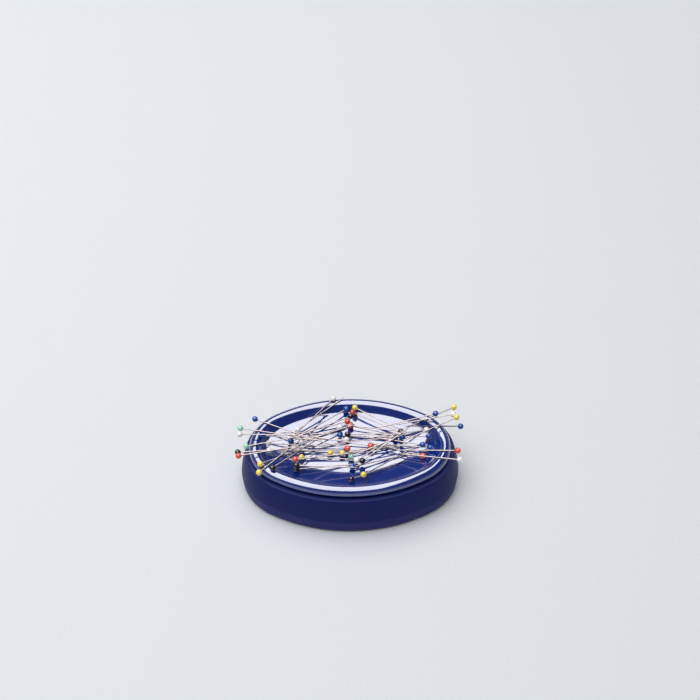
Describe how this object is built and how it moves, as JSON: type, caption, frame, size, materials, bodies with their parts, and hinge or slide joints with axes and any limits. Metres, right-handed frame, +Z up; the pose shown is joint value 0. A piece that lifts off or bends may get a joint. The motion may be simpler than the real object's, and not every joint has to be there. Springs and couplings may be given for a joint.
{
  "type": "magnetic pin bowl",
  "caption": "Oval magnetic bowl for sewing pins: glossy dish in a flared housing, with loose glass-headed pins lying over its magnets.",
  "frame": {"origin": "on the table, under the middle of the bowl", "axes": "+X along the bowl's length, +Y away from the picture's viewer, +Z up"},
  "size_m": [0.1148, 0.075, 0.0304],
  "materials": {
    "dish": "polished",
    "housing": "satin",
    "base_tray": "satin",
    "yoke_plate": "zinc plated",
    "magnets": "sintered",
    "feet": "moulded",
    "pin_wire": "polished",
    "glass_black": "polished",
    "glass_blue": "polished",
    "glass_mint": "polished",
    "glass_red": "polished",
    "glass_white": "polished",
    "glass_yellow": "polished"
  },
  "bodies": {
    "bowl": {"dish": "dish", "housing": "housing", "base_tray": "base_tray", "yoke_plate": "yoke_plate", "left_magnet": "magnets", "right_magnet": "magnets", "front_left_foot": "feet", "front_right_foot": "feet", "back_left_foot": "feet", "back_right_foot": "feet"},
    "pin_heap": {"heap_wires": "pin_wire", "heap_heads_black": "glass_black", "heap_heads_blue": "glass_blue", "heap_heads_mint": "glass_mint", "heap_heads_red": "glass_red", "heap_heads_white": "glass_white", "heap_heads_yellow": "glass_yellow"},
    "top_pin_1": {"top_pin_1_wire": "pin_wire", "top_pin_1_head": "glass_black"},
    "top_pin_2": {"top_pin_2_wire": "pin_wire", "top_pin_2_head": "glass_red"},
    "top_pin_3": {"top_pin_3_wire": "pin_wire", "top_pin_3_head": "glass_mint"},
    "top_pin_4": {"top_pin_4_wire": "pin_wire", "top_pin_4_head": "glass_red"},
    "top_pin_5": {"top_pin_5_wire": "pin_wire", "top_pin_5_head": "glass_white"},
    "top_pin_6": {"top_pin_6_wire": "pin_wire", "top_pin_6_head": "glass_white"},
    "top_pin_7": {"top_pin_7_wire": "pin_wire", "top_pin_7_head": "glass_red"},
    "top_pin_8": {"top_pin_8_wire": "pin_wire", "top_pin_8_head": "glass_red"},
    "top_pin_9": {"top_pin_9_wire": "pin_wire", "top_pin_9_head": "glass_blue"},
    "top_pin_10": {"top_pin_10_wire": "pin_wire", "top_pin_10_head": "glass_white"},
    "top_pin_11": {"top_pin_11_wire": "pin_wire", "top_pin_11_head": "glass_mint"},
    "top_pin_12": {"top_pin_12_wire": "pin_wire", "top_pin_12_head": "glass_yellow"}
  },
  "joints": [
    {"name": "pin_heap_lift", "type": "slide", "parent": "bowl", "child": "pin_heap", "axis": [0, 0, 1], "range_m": [0, 0.04]},
    {"name": "top_pin_1_lift", "type": "slide", "parent": "pin_heap", "child": "top_pin_1", "axis": [0, 0, 1], "range_m": [0, 0.04]},
    {"name": "top_pin_2_lift", "type": "slide", "parent": "pin_heap", "child": "top_pin_2", "axis": [0, 0, 1], "range_m": [0, 0.04]},
    {"name": "top_pin_3_lift", "type": "slide", "parent": "pin_heap", "child": "top_pin_3", "axis": [0, 0, 1], "range_m": [0, 0.04]},
    {"name": "top_pin_4_lift", "type": "slide", "parent": "pin_heap", "child": "top_pin_4", "axis": [0, 0, 1], "range_m": [0, 0.04]},
    {"name": "top_pin_5_lift", "type": "slide", "parent": "pin_heap", "child": "top_pin_5", "axis": [0, 0, 1], "range_m": [0, 0.04]},
    {"name": "top_pin_6_lift", "type": "slide", "parent": "pin_heap", "child": "top_pin_6", "axis": [0, 0, 1], "range_m": [0, 0.04]},
    {"name": "top_pin_7_lift", "type": "slide", "parent": "pin_heap", "child": "top_pin_7", "axis": [0, 0, 1], "range_m": [0, 0.04]},
    {"name": "top_pin_8_lift", "type": "slide", "parent": "pin_heap", "child": "top_pin_8", "axis": [0, 0, 1], "range_m": [0, 0.04]},
    {"name": "top_pin_9_lift", "type": "slide", "parent": "pin_heap", "child": "top_pin_9", "axis": [0, 0, 1], "range_m": [0, 0.04]},
    {"name": "top_pin_10_lift", "type": "slide", "parent": "pin_heap", "child": "top_pin_10", "axis": [0, 0, 1], "range_m": [0, 0.04]},
    {"name": "top_pin_11_lift", "type": "slide", "parent": "pin_heap", "child": "top_pin_11", "axis": [0, 0, 1], "range_m": [0, 0.04]},
    {"name": "top_pin_12_lift", "type": "slide", "parent": "pin_heap", "child": "top_pin_12", "axis": [0, 0, 1], "range_m": [0, 0.04]}
  ]
}
